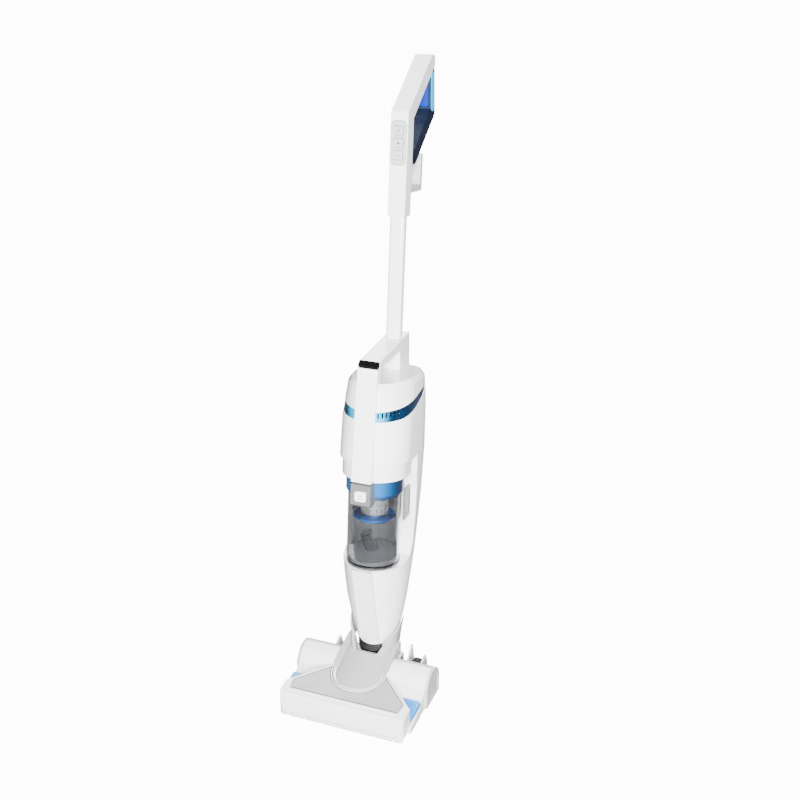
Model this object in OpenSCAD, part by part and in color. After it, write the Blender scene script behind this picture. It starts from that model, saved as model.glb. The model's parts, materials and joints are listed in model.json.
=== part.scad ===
// Upright wet and dry floor scrubber, parked, with its body leaning slightly back.
// The head's parts are drawn with y = 0 on the roller's line. The body's parts are
// drawn upright, with y = 0 and z = 0 on the recline hinge, and then leaned back.

/* [Stance] */
// backward lean of the parked body, degrees
lean = 6; // [5:0.5:7]
// height of the recline hinge above the floor
pivot_z = 40; // [39:0.5:41]

/* [Head] */
// half the width of the front bumper
bumper_hw = 121; // [120:0.5:122]
// outer radius of the roller housing
drum_r = 33.5; // [33:0.5:34]
// radius of the roller over its bristles
roller_r = 28; // [27:0.5:28.5]
// radius of the two rear wheels
wheel_r = 15; // [14:0.5:15.5]
// radius of the hinge stubs of the neck
stub_r = 6; // [5:0.5:7]

/* [Body] */
// outer radius of the clear dirty-water tank
tank_r = 48; // [47:0.5:48.5]
// radius of the neck's steering spigot
spigot_r = 20; // [18:0.5:21]
// half the width of the glossy front strip
strip_hw = 18.5; // [17:0.5:20]
// wall thickness of the moulded shells
wall = 3; // [2.5:0.25:3.5]

/* [Handle] */
// width of the pole, side to side
pole_w = 27; // [25:1:27]
// depth of the pole, front to back
pole_d = 20; // [18:1:20]
// half the width of the handle's shell
sleeve_hw = 15.75; // [15:0.25:17]

/* [Fits] */
// radial clearance of a pin that turns in a bore
run_gap = 0.05; // [0.02:0.01:0.09]
// clearance round a button or a lifted-off part
slip_gap = 0.3; // [0.3:0.05:0.4]

/* [Hidden] */
$fn = 64;
ring_points = 48;
mid_y = 86;                 // middle of the whole machine, behind the roller's line
pivot_y = 48;
drum_z = 36;
housing_hw = 125.7;
roller_z = roller_r + 0.4;
tank_y = -40;
tank_foot = 215.3;
tank_floor = 219;
tank_rim = 357;
lid_r = tank_r + 4;
lid_top = 384;
collar_r = 59;
foot_slope = 24.4;          // slope of the cut at the foot of the body
foot_z = 61;
plate_z = 76;               // underside of the steering plate, above the hinge
pole_y = 28.5;
sleeve_front = 16;
sleeve_back = 43;
hook_z = 874;
axle_r = 3;
wheel_x = 74.5;
wheel_y = 73;
motor_r = 13.5;
core_bore_r = 14.5;
clean_hw = 38;
key_gap = slip_gap;
button_foot = 590.6;         // underside of the release button's cap
button_travel = 1.6;
skirt_hw = 16.5;
key_r = 3;
key_w = 17;
panel_w = 26;               // width of the control plate
white = [0.93, 0.94, 0.95];
pale_grey = [0.80, 0.81, 0.83];
mid_grey = [0.62, 0.64, 0.66];
black = [0.08, 0.08, 0.09];
navy = [0.07, 0.12, 0.20];
blue = [0.03, 0.45, 0.85];
cyan = [0.05, 0.70, 0.90];
smoke = [0.70, 0.74, 0.78, 0.35];
steel = [0.75, 0.76, 0.78];

// ---- frames ----

module on_head() {
    translate([0, -mid_y, 0]) children();
}

module on_body() {
    on_head() translate([0, pivot_y, pivot_z]) rotate([-lean, 0, 0]) children();
}

module on_steer() {
    rotate([lean, 0, 0]) children();
}

module both_sides() {
    for (side = [-1, 1]) scale([side, 1, 1]) children();
}

// ---- shapes ----

module block(low, high) {
    translate(low) cube(high - low);
}

module prism_x(x_low, x_high, outline) {
    translate([x_low, 0, 0]) rotate([90, 0, 90]) linear_extrude(x_high - x_low) polygon(outline);
}

module rod_x(x_low, x_high, y, z, r) {
    translate([x_low, y, z]) rotate([0, 90, 0]) cylinder(h = x_high - x_low, r = r);
}

module rod_y(x, y_low, y_high, z, r) {
    translate([x, y_low, z]) rotate([-90, 0, 0]) cylinder(h = y_high - y_low, r = r);
}

module rod_z(x, y, z_low, z_high, r) {
    translate([x, y, z_low]) cylinder(h = z_high - z_low, r = r);
}

module rounded(w, d, r) {
    square([w - 2 * r, d], center = true);
    square([w, d - 2 * r], center = true);
    for (x = [-1, 1], y = [-1, 1]) translate([x * (w / 2 - r), y * (d / 2 - r)]) circle(r);
}

// flat bar with round ends between two points of a plane
module strand(start, end, w) {
    run = end - start;
    heading = atan2(run[1], run[0]);
    polygon(concat(
        [for (turn = [90:15:270]) start + w / 2 * [cos(turn + heading), sin(turn + heading)]],
        [for (turn = [-90:15:90]) end + w / 2 * [cos(turn + heading), sin(turn + heading)]]
    ));
}

module side_profile(half_w) {
    translate([-half_w, 0, 0]) rotate([90, 0, 90]) linear_extrude(2 * half_w) children();
}

// one level of a shell: a round front, a squarer back, widest at mid
function ring(z, hw, front, mid, back, square_back = 2.5) = [
    for (i = [0:ring_points - 1])
        let (turn = 360 * i / ring_points)
        let (power = sin(turn) < 0 ? 1 : 2 / square_back)
        let (reach = pow(abs(sin(turn)), power))
        let (y = sin(turn) < 0 ? mid - (mid - front) * reach : mid + (back - mid) * reach)
        [hw * sign(cos(turn)) * pow(abs(cos(turn)), power), y, z]
];

module loft(rings) {
    count = len(rings);
    n = ring_points;
    polyhedron(
        points = [for (level = rings) for (p = level) p],
        faces = concat(
            [[for (i = [0:n - 1]) i]],
            [for (k = [0:count - 2]) for (i = [0:n - 1])
                [k * n + i, (k + 1) * n + i, (k + 1) * n + (i + 1) % n]],
            [for (k = [0:count - 2]) for (i = [0:n - 1])
                [k * n + i, (k + 1) * n + (i + 1) % n, k * n + (i + 1) % n]],
            [[for (i = [n - 1:-1:0]) (count - 1) * n + i]]
        )
    );
}

// the same shell, as one convex piece between each two levels
module stack(rings) {
    for (k = [0:len(rings) - 2]) hull() loft([rings[k], rings[k + 1]]);
}

// ---- head ----

module pivot_ear() {
    prism_x(44, 50, [[37.5, 8], [62, 8], [61.5, 38], [34.5, 38]]);
    rod_x(44, 50, pivot_y, pivot_z, 14);
}

module wheel_ear(x, peak) {
    prism_x(x, x + 3.5, [[46, 6], [46, 34], [66, peak - 2], [70, peak], [75, peak - 2], [84, 22], [82, 6]]);
}

module base_chassis() {
    floor_plan = [[-112, -125.5], [112, -125.5], [121.3, -100], [121.3, -34], [-121.3, -34], [-121.3, -100]];
    color(pale_grey) on_head() difference() {
        union() {
            translate([0, 0, 4]) linear_extrude(3) polygon(floor_plan);
            block([-92, 37.3, 6], [92, 66, 10]);
            block([-125.5, 37.3, 4], [125.5, 44, 7]);
            both_sides() block([121.3, -57, 4], [125.5, 44, 7]);
            both_sides() pivot_ear();
            both_sides() wheel_ear(59.5, 62);
            both_sides() wheel_ear(86, 45);
            both_sides() block([70, -119, 0], [100, -101, 4.5]);
            both_sides() prism_x(121.3, 126, [[-106, 4], [-106, 14], [-57, 24], [-57, 4]]);
        }
        both_sides() rod_x(43, 51, pivot_y, pivot_z, stub_r + run_gap);
        both_sides() rod_x(59, 90, wheel_y, wheel_r, axle_r);
        both_sides() block([65.3, 56, 5], [83.7, 70, 12]);
        for (x = [-80, 80], y = [-90, -48]) rod_z(x, y, 3, 8, 2);
    }
}

module front_bumper() {
    section = [
        [-118.3, 7.2], [-126, 7.2], [-126, 0.8], [-133, 0.8], [-134.5, 8], [-130, 40], [-126, 45.5],
        [-118.3, 47.5]
    ];
    tooth = 34;
    color(white) on_head() difference() {
        intersection() {
            prism_x(-bumper_hw, bumper_hw, section);
            translate([0, -94.5, 0]) linear_extrude(60) rounded(2 * bumper_hw, 80, 14);
        }
        for (i = [-3:3]) block([i * tooth - 1.5, -140, 0], [i * tooth + 1.5, -128, 4]);
    }
}

function cover_z(y) = 47.5 + 0.107 * (y + 118);

function cover_plan(inset) = [
    [-bumper_hw + inset, -118 + inset], [bumper_hw - inset, -118 + inset],
    [bumper_hw - inset, -97 - inset / 2], [58 - inset, -34 - inset],
    [-58 + inset, -34 - inset], [-bumper_hw + inset, -97 - inset / 2]
];

module under_cover(drop, inset) {
    intersection() {
        prism_x(-130, 130, [
            [-118, 7.2], [-118, cover_z(-118) - drop], [-33.8, cover_z(-33.8) - drop], [-33.8, 7.2]
        ]);
        linear_extrude(70) polygon(cover_plan(inset));
    }
}

module head_cover() {
    color(white) on_head() difference() {
        under_cover(0, 0);
        translate([0, 0, -0.01]) under_cover(wall, wall);
    }
}

// outline of the convex tongue that runs down from the neck
function tongue(grow) = [
    for (turn = [180:10:360]) [(46 + grow) * cos(turn), -38 + (50 + grow) * sin(turn)]
];

module cover_panel() {
    thick = 1.6;
    plan = [[-104, -116], [104, -116], [108, -92], [54, -38], [-54, -38], [-108, -92]];
    color(pale_grey) on_head() difference() {
        intersection() {
            prism_x(-110, 110, [
                [-116, cover_z(-116)], [-116, cover_z(-116) + thick],
                [-38, cover_z(-38) + thick], [-38, cover_z(-38)]
            ]);
            linear_extrude(70) polygon(plan);
        }
        linear_extrude(70) polygon(tongue(0.3));
        both_sides() block([39, -46.3, 50], [52.3, -37, 70]);
    }
}

module side_window() {
    plan = [[82.5, -56.3], [126, -56.3], [126, -90], [122, -98], [119, -95]];
    inner = [[89, -58.5], [123.8, -58.5], [123.8, -89], [121.5, -93]];
    difference() {
        intersection() {
            translate([0, 0, 28.3]) linear_extrude(14) polygon(plan);
            prism_x(80, 130, [[-100, 0], [-100, 34], [-56, 38], [-56, 0]]);
        }
        intersection() {
            translate([0, 0, 27]) linear_extrude(14) polygon(inner);
            prism_x(80, 130, [[-100, 0], [-100, 31.5], [-56, 35.5], [-56, 0]]);
        }
    }
}

module window_right() {
    color(cyan) on_head() side_window();
}

module window_left() {
    color(cyan) on_head() mirror([1, 0, 0]) side_window();
}

module arch(r, foot) {
    translate([0, drum_z]) circle(r);
    translate([-r, foot]) square([2 * r, drum_z - foot]);
}

module apron(t) {
    polygon([[-33, 44 - t], [-56 + t, 30 - t], [-56 + t, 7.2], [-30, 7.2]]);
}

module roller_housing() {
    color(white) on_head() difference() {
        union() {
            side_profile(housing_hw) arch(drum_r, 7.2);
            side_profile(housing_hw) apron(0);
        }
        side_profile(housing_hw + 1) arch(drum_r - 2.5, 0);
        difference() {
            side_profile(housing_hw - 2.5) apron(2.5);
            rod_x(-130, 130, 0, drum_z, drum_r);
            block([-130, -drum_r, 0], [130, 0, drum_z]);
        }
        intersection() {
            under_cover(-0.1, -0.1);
            block([-130, -60, 7], [130, -33.6, 60]);
        }
        block([-17, 28, 12], [17, 36, 24]);
    }
}

module end_cap() {
    cap = [[-33, 6], [-33, 46], [-20, 65], [-8, 69.5], [10, 69], [26, 58], [33, 44], [33, 6]];
    dish = [[-26, 14], [-26, 42], [-14, 60], [8, 62], [26, 42], [26, 14]];
    difference() {
        prism_x(housing_hw, housing_hw + 5, cap);
        rod_x(housing_hw - 1, housing_hw + 3.5, 0, roller_z, 4 + run_gap);
        prism_x(housing_hw + 3.8, housing_hw + 6, dish);
    }
}

module end_cap_right() {
    color(pale_grey) on_head() end_cap();
}

module end_cap_left() {
    color(pale_grey) on_head() mirror([1, 0, 0]) end_cap();
}

function fairing_rings(t) = [
    ring(42 - t, 45 - t, -86 + t, -36, 40, 3),
    ring(cover_z(-80) + 3 - t, 45 - t, -84 + t, -34, 42, 3),
    ring(59 - t, 45 - t, -72 + t, -24, 46, 3),
    ring(66 - t, 45 - t, -51 + t, -6, 60, 3),
    ring(73 - t, 45 - t, -30 + t, 14, 80, 3),
    ring(79 - t, 45 - t, -13 + t, 34, 90, 3),
    ring(102 - t, 47 - t, -2 + t, 42, 95, 3),
    ring(140 - t, 53 - t, -6 + t, 44, 100, 3)
];

// the round seat that the nose swivels in
module neck_seat(grow) {
    translate([0, pivot_y, 60]) {
        cylinder(h = 40.01, r1 = 41.2 + grow, r2 = 44.2 + grow);
        translate([0, 0, 40]) cylinder(h = 40, r1 = 44.2 + grow, r2 = 51.8 + grow);
    }
}

module neck_fairing() {
    notch = [[-15, 66], [15, 66], [20, 77], [26, 88], [26, 120], [-26, 120], [-26, 88], [-20, 77]];
    flank = [[-46, 50], [-36, 64], [-8, 76], [30, 86], [40, 86], [40, 62], [-33, 62], [-33, 50]];
    rim = [
        [-30, 76], [-13, 79.5], [-8, 76], [54, 136], [58, 120], [56, 60], [120, 60], [120, 160], [-20, 160]
    ];
    color(pale_grey) on_head() difference() {
        union() {
            difference() {
                loft(fairing_rings(0));
                difference() {
                    loft(fairing_rings(wall));
                    neck_seat(wall);
                }
            }
            both_sides() prism_x(40, 52, flank);
        }
        neck_seat(0);
        translate([0, 40, 0]) rotate([90, 0, 0]) linear_extrude(46.5) polygon(notch);
        prism_x(-60, 60, rim);
        block([-43.9, pivot_y - 8, 0], [43.9, 120, 160]);
        block([-60, 56, 0], [60, 120, 160]);
        prism_x(-60, 60, [[-120, 0], [-120, cover_z(-120) + 0.1], [-33.8, cover_z(-33.8) + 0.1], [-33.8, 0]]);
        block([-60, -33.81, 0], [60, 120, 62]);
        rod_x(-60, 60, 0, drum_z, drum_r + 0.1);
    }
}

module brush_motor() {
    color(black) on_head() difference() {
        union() {
            rod_x(-housing_hw + 0.1, -121, 0, roller_z, 17);
            rod_x(-121, -62, 0, roller_z, motor_r);
            rod_x(-104, -96, 0, roller_z, core_bore_r - run_gap);
        }
        rod_x(-75, -61, 0, roller_z, 3 + run_gap);
    }
}

module squeegee() {
    blade = [[33.9, 9.9], [33.9, 4], [35.2, 0.4], [36.2, 0.4], [37, 4], [37, 9.9]];
    color(navy) on_head() prism_x(-105, 105, blade);
}

module suction_duct() {
    color(black) on_head() difference() {
        block([-19, 33.9, 10.1], [19, 60, 25.5]);
        block([-16.5, 33, 12], [16.5, 58, 23.5]);
        rod_z(0, pivot_y, 20, 26, 9);
    }
}

module spray_bar() {
    color(navy) on_head() {
        rod_x(-52, 52, -60, 45, 3.5);
        for (x = [-45:30:45]) rod_z(x, -60, 39, 44, 1.6);
    }
}

module wheel_axles() {
    color(steel) on_head() both_sides() rod_x(59, 90.2, wheel_y, wheel_r, axle_r);
}

module head_screws() {
    color(steel) on_head() for (x = [-80, 80], y = [-90, -48]) {
        rod_z(x, y, 4, 6.9, 2);
        rod_z(x, y, 2.2, 4, 3.6);
    }
}

module brush_roller() {
    rows = 10;
    color(cyan) on_head() difference() {
        union() {
            rod_x(-110, 120, 0, roller_z, roller_r - 2);
            for (i = [0:rows - 1])
                translate([5, 0, roller_z]) rotate([i * 360 / rows, 0, 0])
                    translate([0, 0, roller_r - 3]) cube([230, 7, 5.6], center = true);
        }
        rod_x(-111, 121, 0, roller_z, 18);
        difference() {
            rod_x(-115, 130, 0, roller_z, roller_r + 4);
            rod_x(-116, 131, 0, roller_z, roller_r);
        }
    }
}

module roller_core() {
    color(black) on_head() difference() {
        union() {
            rod_x(-110, 120, 0, roller_z, 18);
            rod_x(119, 128.8, 0, roller_z, 4);
        }
        rod_x(-111, -58, 0, roller_z, core_bore_r);
    }
    color(black) on_head() rod_x(-73, -57, 0, roller_z, 3);
}

module wheel() {
    difference() {
        rod_x(wheel_x - 8.5, wheel_x + 8.5, wheel_y, wheel_r, wheel_r);
        rod_x(wheel_x - 10, wheel_x + 10, wheel_y, wheel_r, axle_r + run_gap);
    }
}

module wheel_right() {
    color(black) on_head() wheel();
}

module wheel_left() {
    color(black) on_head() mirror([1, 0, 0]) wheel();
}

// ---- neck ----

module swivel_yoke() {
    color(black) on_body() difference() {
        union() {
            rod_x(-43.5, 43.5, 0, 0, 13);
            rod_x(-50, 50, 0, 0, stub_r);
            on_steer() hull() {
                rod_z(0, 0, 36, 40, 24);
                rod_x(-26, 26, 0, 0, 12.5);
            }
            on_steer() rod_z(0, 0, 39, plate_z - 8, 24);
            on_steer() rod_z(0, 0, plate_z - 9, plate_z - slip_gap, 30);
            on_steer() rod_z(0, 0, plate_z - 1, plate_z + 18, spigot_r);
        }
        on_steer() rod_z(0, 0, 14, plate_z + 20, 14.5);
        on_steer() rod_z(0, 0, -20, 15, 8);
    }
}

// ---- body shells ----

function lower_rings(t) = [
    ring(40, 35.2 - t, -40.3 + t, -2, 36.3 - t, 2),
    ring(100, 49.5 - t, -57 + t, -8, 39 - t, 2.1),
    ring(140, 56 - t, -69 + t, -12, 42 - t, 2.2),
    ring(180, 59.5 - t, -81 + t, -12, 46 - t, 2.5),
    ring(218, 62 - t, -91 + t, -14, 51 - t, 2.8),
    ring(260, 62.8 - t, -95 + t, -30, 56 - t, 3.8),
    ring(335, 63.8 - t, -98 + t, tank_y, 60 - t, 5.5),
    ring(417, 65 - t, -99 + t, tank_y, 62 - t, 6)
];

function upper_rings(t) = [
    ring(417.3, 65 - t, -99 + t, tank_y, 62 - t, 6),
    ring(493, 64 - t, -97.5 + t, -32, 63 - t, 5.5),
    ring(520, 62.5 - t, -96.5 + t, -22, 64 - t, 5),
    ring(553 - t / 2, 60 - t, -95 + t, -10, 64.5 - t, 4),
    ring(562 - t, 53 - t, -88.5 + t, -10, 61 - t, 4)
];

// everything below the slanted foot of the body
module below_foot() {
    translate([0, 0, foot_z]) rotate([foot_slope, 0, 0]) block([-80, -120, -60], [80, 120, 0]);
}

// the hollow of the body's lower part, up to a given level, with the steering plate left across it
module lower_hollow(cap) {
    difference() {
        stack(concat([for (level = lower_rings(wall)) if (level[0][2] < cap[0][2] - 5) level], [cap]));
        on_steer() rod_z(0, 0, plate_z, plate_z + 6, 70);
    }
}

// side outline of the bay that the clear tank stands in
bay = [
    [-150, 214.8], [-45, 214.8], [-14, 224], [0, 248], [4, 300], [3, 350], [-2, 392], [-4, 420], [-150, 420]
];

module nose_cover() {
    rib = [[-46, 55], [-60.5, 100], [-73, 140], [-85.5, 180], [-96, 214.6], [-70, 214.6], [-30, 55]];
    color(white) on_body() difference() {
        intersection() {
            union() {
                stack(lower_rings(0));
                prism_x(-strip_hw, strip_hw, rib);
            }
            block([-70, -120, 0], [70, 8, 223.8]);
        }
        rod_z(0, tank_y, 214, 240, tank_r + 1.1);
        lower_hollow(ring(210, 61.5 - wall, -89 + wall, -14, 48 - wall, 2.8));
        prism_x(-80, 80, bay);
        below_foot();
        on_steer() rod_z(0, 0, 20, 100, spigot_r + run_gap);
        rod_z(0, tank_y + 10, 200, 220, 13);
    }
}

module clean_bay(grow) {
    block([-clean_hw - grow, 24 - grow, 245 - grow], [clean_hw + grow, 80, 405 + grow]);
}

module rear_shell() {
    color(white) on_body() difference() {
        stack(lower_rings(0));
        difference() {
            lower_hollow(ring(413, 65 - wall, -99 + wall, tank_y, 62 - wall, 6));
            rod_z(0, tank_y, 224, 417, 53.5);
            translate([0, wall, -wall]) prism_x(-80, 80, bay);
            block([-60, 8.2, 236], [60, 70, 240]);
        }
        block([-80, -130, 0], [80, 8.2, 224]);
        prism_x(-80, 80, bay);
        rod_z(0, tank_y, 215, 420, tank_r + 1.2);
        rod_z(0, tank_y, lid_top - 28, 386, lid_r + 0.6);
        collar_plan(0.1);
        below_foot();
        on_steer() rod_z(0, 0, 20, 100, spigot_r + run_gap);
        clean_bay(slip_gap);
        both_sides() block([49.1, -26, 295.9], [52.1, 9.1, 356.6]);
    }
}

module collar_plan(grow) {
    translate([0, 0, 386.5 - grow]) linear_extrude(40) {
        translate([0, tank_y]) circle(collar_r + grow);
        translate([-collar_r - grow, tank_y]) square([2 * collar_r + 2 * grow, 24]);
    }
}

module collar() {
    color(white) on_body() difference() {
        intersection() {
            collar_plan(0);
            rod_z(0, tank_y, 386.5, 417, 90);
        }
        rod_z(0, tank_y, 389.5, 420, collar_r - wall);
        rod_z(0, tank_y, 380, 400, 38);
    }
}

module upper_shell() {
    difference() {
        loft(upper_rings(0));
        loft(upper_rings(wall));
    }
}

// lower and upper edges of the vent band, seen from the side
band_low = [[-105, 495], [-60, 500], [-10, 511], [22, 523], [46, 541]];
band_high = [[46, 541.2], [22, 535], [-10, 528], [-60, 519], [-105, 512]];

module above_band(drop) {
    prism_x(-80, 80, concat([for (p = band_low) p - [0, drop]], [[80, 541], [80, 600], [-105, 600]]));
}

module below_band() {
    prism_x(-80, 80, concat(band_high, [[-105, 400], [80, 400], [80, 541.2]]));
}

module motor_housing() {
    color(white) on_body() difference() {
        upper_shell();
        above_band(0);
    }
}

module top_cap() {
    color(pale_grey) on_body() difference() {
        upper_shell();
        below_band();
        block([-pole_w / 2, pole_y - pole_d / 2, 540], [pole_w / 2, pole_y + pole_d / 2, 570]);
    }
}

module vent_band() {
    slots = 24;
    color(blue) on_body() difference() {
        intersection() {
            difference() {
                loft(upper_rings(0.6));
                loft(upper_rings(wall));
            }
            prism_x(-80, 80, concat(band_low, band_high));
        }
        block([-strip_hw, -120, 480], [strip_hw, -80, 560]);
        for (i = [4:slots - 4]) translate([0, tank_y, 0]) rotate([0, 0, (i - slots / 2) * 180 / slots]) hull()
            for (z = [503, 510]) translate([0, 0, z + pow(i - slots / 2, 2) / 8])
                rotate([90, 0, 0]) cylinder(h = 80, r = 1.4, $fn = 16);
    }
}

module front_strip() {
    rib = [[-108, 388], [-98.5, 514], [-92, 590], [-84, 590], [-84, 556], [-80, 540], [-80, 388]];
    color(white) on_body() difference() {
        prism_x(-strip_hw, strip_hw, rib);
        loft(upper_rings(0));
        rod_z(0, tank_y, 300, 417.3, collar_r);
        block([-strip_hw - 1, -86, 300], [strip_hw + 1, 0, 553]);
        block([-strip_hw - 1, -110, button_foot - button_travel - slip_gap], [strip_hw + 1, 0, 595]);
        block([-skirt_hw - slip_gap, -90.5 - slip_gap, 574], [skirt_hw + slip_gap, -80, 595]);
    }
}

module carry_handle() {
    color(white) on_body() difference() {
        side_profile(strip_hw) difference() {
            polygon([[-83.7, 562], [-83.7, 590.3], [-82, 600.6], [55, 623.5], [58, 621], [63, 562]]);
            polygon([
                [-76, 561], [-76, 580], [-73, 586], [-67, 589], [2, 598], [8, 597], [12, 592], [13, 586],
                [13, 561]
            ]);
        }
        block([-pole_w / 2, pole_y - pole_d / 2, 550], [pole_w / 2, pole_y + pole_d / 2, 630]);
    }
}

module pole() {
    color(white) on_body() translate([0, pole_y, 562]) difference() {
        linear_extrude(338) rounded(pole_w, pole_d, 6);
        translate([0, 0, -1]) linear_extrude(340) rounded(pole_w - 3, pole_d - 3, 4.5);
    }
}

module side_clips() {
    color(mid_grey) on_body() both_sides() difference() {
        block([49.2, -26, 296], [52, 9, 356.5]);
        block([50.7, -20, 304], [60, 2, 349]);
    }
}

module lower_hook() {
    color(pale_grey) on_body() difference() {
        union() {
            block([-14, 58, 444], [14, 66, 468]);
            block([-9, 66, 450], [9, 106, 461]);
            block([-9, 97, 416], [9, 106, 450]);
        }
        loft(upper_rings(0));
    }
}

module cable_gland() {
    color(black) on_body() difference() {
        union() {
            rod_y(30, 56, 66, 480, 10);
            rod_y(30, 66, 82, 480, 7);
        }
        loft(upper_rings(0));
        rod_y(30, 50, 83, 480, 3.6);
    }
}

// ---- inside the body ----

module suction_motor() {
    color(steel) on_body() difference() {
        union() {
            rod_z(0, tank_y, 430, 486, 36);
            rod_z(0, tank_y, 426, 430, 54);
            rod_z(0, tank_y, 486, 496, 14);
        }
        rod_z(0, tank_y, 425, 460, 4 + run_gap);
    }
}

module impeller() {
    blades = 9;
    color(steel) on_body() {
        rod_z(0, tank_y, 408, 410, 34);
        rod_z(0, tank_y, 410, 424, 9);
        rod_z(0, tank_y, 424, 456, 4);
        for (i = [0:blades - 1])
            translate([0, tank_y, 410]) rotate(i * 360 / blades)
                translate([5, 0, 0]) rotate(25) cube([27, 1.6, 9]);
    }
}

module filter_pad() {
    pleats = 11;
    color(white) on_body() union() {
        difference() {
            rod_z(0, tank_y, 390, 403, 44);
            rod_z(0, tank_y, 389, 404, 40);
        }
        intersection() {
            rod_z(0, tank_y, 390, 403, 41);
            for (i = [0:pleats - 1]) translate([-40 + i * 7.3, tank_y - 45, 391]) cube([4, 90, 11]);
        }
        rod_z(0, tank_y, 390, 391.4, 41);
    }
}

module circuit_board() {
    color([0.10, 0.35, 0.20]) on_body() {
        block([-34, -75, 530], [34, 8, 531.6]);
        block([-20, -60, 531.6], [0, -40, 541]);
        block([8, -30, 531.6], [26, -10, 536]);
        block([-28, -20, 531.6], [-10, 0, 544]);
    }
}

module water_pump() {
    color(black) on_body() {
        rod_z(-12, 13, 130, 178, 15);
        block([-24, 0, 114], [2, 27, 130]);
    }
}

// ---- dirty-water tank ----

module tank_shell() {
    color(smoke) on_body() difference() {
        rod_z(0, tank_y, tank_foot, tank_rim, tank_r);
        rod_z(0, tank_y, tank_floor + wall, tank_rim + 1, tank_r - 2.2);
        rod_z(0, tank_y, tank_foot - 1, tank_floor, tank_r - 2.2);
        rod_z(0, tank_y + 10, tank_foot - 1, tank_floor + 4, 10);
    }
}

module tank_lid() {
    color(blue) on_body() difference() {
        union() {
            rod_z(0, tank_y, tank_rim, lid_top, lid_r);
            rod_z(0, tank_y, tank_rim - 8, tank_rim, tank_r - 2.5);
        }
        rod_z(0, tank_y, tank_rim - 9, tank_rim + 16, tank_r - 6);
        rod_z(0, tank_y, tank_rim, lid_top + 1, 21);
        difference() {
            rod_z(0, tank_y, lid_top - 1.5, lid_top + 1, 45);
            rod_z(0, tank_y, lid_top - 2, lid_top + 2, 41);
        }
    }
}

module lid_seal() {
    color(black) on_body() difference() {
        rod_z(0, tank_y, lid_top - 1.5, lid_top + 2, 44.9);
        rod_z(0, tank_y, lid_top - 2, lid_top + 3, 41.1);
    }
}

module filter_can() {
    slots = 12;
    color(steel) on_body() difference() {
        union() {
            rod_z(0, tank_y, 311, tank_rim + 16, 24.5);
        }
        rod_z(0, tank_y, 314, tank_rim + 17, 22.8);
        rod_z(0, tank_y, 310, 315, 14);
        for (i = [0:slots - 1])
            translate([0, tank_y, 318]) rotate(i * 360 / slots) translate([20, -1, 0]) cube([8, 2, 4]);
    }
}

module float_bowl() {
    color(blue) on_body() {
        translate([0, tank_y, 0]) rotate_extrude() polygon([
            [0, 297], [26, 297], [34, 300], [39, 305.5], [38, 307], [33, 303], [25, 300], [0, 300]
        ]);
        rod_z(0, tank_y, 300, 326, 8);
    }
}

module inlet_tube() {
    color(smoke) on_body() intersection() {
        translate([0, tank_y + 10, tank_floor]) rotate([14, -16, 0]) translate([0, 0, -14]) difference() {
            cylinder(h = 66, r = 12);
            translate([0, 0, -1]) cylinder(h = 70, r = 10);
        }
        rod_z(0, tank_y, tank_floor + wall, 296, tank_r - 4);
    }
}

module latch_block() {
    body = [[-84, 344], [-106, 344], [-110, 348], [-107.8, 384], [-84, 384]];
    color(mid_grey) on_body() difference() {
        prism_x(-strip_hw, strip_hw, body);
        rod_z(0, tank_y, 340, tank_rim, tank_r + 0.1);
        rod_z(0, tank_y, tank_rim, 390, lid_r);
        block([-10.8, -120, 353.4], [10.8, -100, 372.6]);
        rod_y(0, -101, -90, 363, 3.3);
    }
}

module latch_button() {
    color(white) on_body() {
        translate([0, -102.6, 363]) rotate([90, 0, 0]) linear_extrude(7.4) rounded(21, 18.4, 4);
        rod_y(0, -103, -95, 363, 3);
    }
}

// ---- clean-water tank ----

module clean_tank() {
    color([0.85, 0.90, 0.95, 0.6]) on_body() difference() {
        intersection() {
            loft(lower_rings(-0.6));
            clean_bay(0);
        }
        block([-clean_hw + 2.5, 26.5, 247.5], [clean_hw - 2.5, 52, 402.5]);
        rod_y(0, 50, 70, 385, 11.3);
    }
}

module filler_cap() {
    color(navy) on_body() difference() {
        union() {
            rod_y(0, 62.6, 67, 385, 14);
            rod_y(0, 54, 62.6, 385, 11);
        }
        rod_y(0, 53, 61, 385, 8.5);
        for (i = [0:11])
            translate([0, 0, 385]) rotate([0, i * 30, 0])
                translate([14.4, 65, 0]) cube([2, 5, 2.4], center = true);
    }
}

// ---- buttons ----

module release_button() {
    top = [[-92, button_foot], [-92, 593], [-85, 600.6], [-84.2, 600.6], [-84.2, button_foot]];
    color(black) on_body() {
        prism_x(-strip_hw, strip_hw, top);
        block([-skirt_hw, -90.5, 577], [skirt_hw, -84.2, button_foot]);
    }
}

module key_at(z) {
    translate([0, sleeve_front - 2.2, z]) rotate([-90, 0, 0]) linear_extrude(2.6) rounded(key_w, 15, key_r);
}

key_zs = [935, 955, 975];

module key_lower() {
    color(white) on_body() key_at(key_zs[0]);
}

module key_middle() {
    color(white) on_body() key_at(key_zs[1]);
}

module key_upper() {
    color(white) on_body() key_at(key_zs[2]);
}

// ---- handle ----

bend = [29.5, 1000];
top = [128, 1087];
heel = [140, 1003];
root = [42, 916];

module loop_core() {
    strand(top, heel, 14);
    strand(heel, root, 14);
}

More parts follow.
